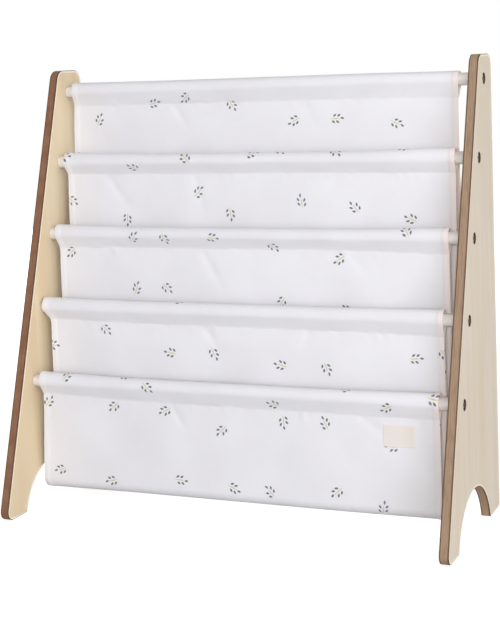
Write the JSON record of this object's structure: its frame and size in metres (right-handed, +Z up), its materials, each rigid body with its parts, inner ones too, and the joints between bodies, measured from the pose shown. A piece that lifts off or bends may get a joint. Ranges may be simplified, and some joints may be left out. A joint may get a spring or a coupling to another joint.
{
  "type": "sling bookshelf",
  "caption": "Low children's bookshelf: two plywood side panels joined by round dowels, with a cloth sling that forms staggered front-facing book pockets.",
  "frame": {"origin": "on the floor, under the middle of the object", "axes": "+X from the left side panel to the right one, seen from the front; +Y from the front to the back; +Z up"},
  "size_m": [0.6, 0.247, 0.58],
  "materials": {
    "birch_plywood": "pale birch faces, smooth and unvarnished, with brown laser-cut edges",
    "dowel_wood": "whitish sanded wood",
    "bolt_steel": "bright plated steel",
    "insert_steel": "zinc-plated steel",
    "canvas": "white cotton canvas with a small scattered leaf-sprig print",
    "label_twill": "cream woven patch, bare"
  },
  "bodies": {
    "root": {"side_panel_left": "birch_plywood", "side_panel_right": "birch_plywood", "dowel_1": "dowel_wood", "sleeve_1": "canvas", "dowel_2": "dowel_wood", "sleeve_2": "canvas", "dowel_3": "dowel_wood", "sleeve_3": "canvas", "dowel_4": "dowel_wood", "sleeve_4": "canvas", "dowel_5": "dowel_wood", "sleeve_5": "canvas", "bolt_left_1": "bolt_steel", "bolt_right_1": "bolt_steel", "bolt_left_2": "bolt_steel", "bolt_right_2": "bolt_steel", "bolt_left_3": "bolt_steel", "bolt_right_3": "bolt_steel", "bolt_left_4": "bolt_steel", "bolt_right_4": "bolt_steel", "bolt_left_5": "bolt_steel", "bolt_right_5": "bolt_steel", "insert_left_1": "insert_steel", "insert_right_1": "insert_steel", "insert_left_2": "insert_steel", "insert_right_2": "insert_steel", "insert_left_3": "insert_steel", "insert_right_3": "insert_steel", "insert_left_4": "insert_steel", "insert_right_4": "insert_steel", "insert_left_5": "insert_steel", "insert_right_5": "insert_steel", "pocket_1": "canvas", "pocket_2": "canvas", "pocket_3": "canvas", "pocket_4": "canvas", "label_patch": "label_twill"}
  },
  "joints": []
}
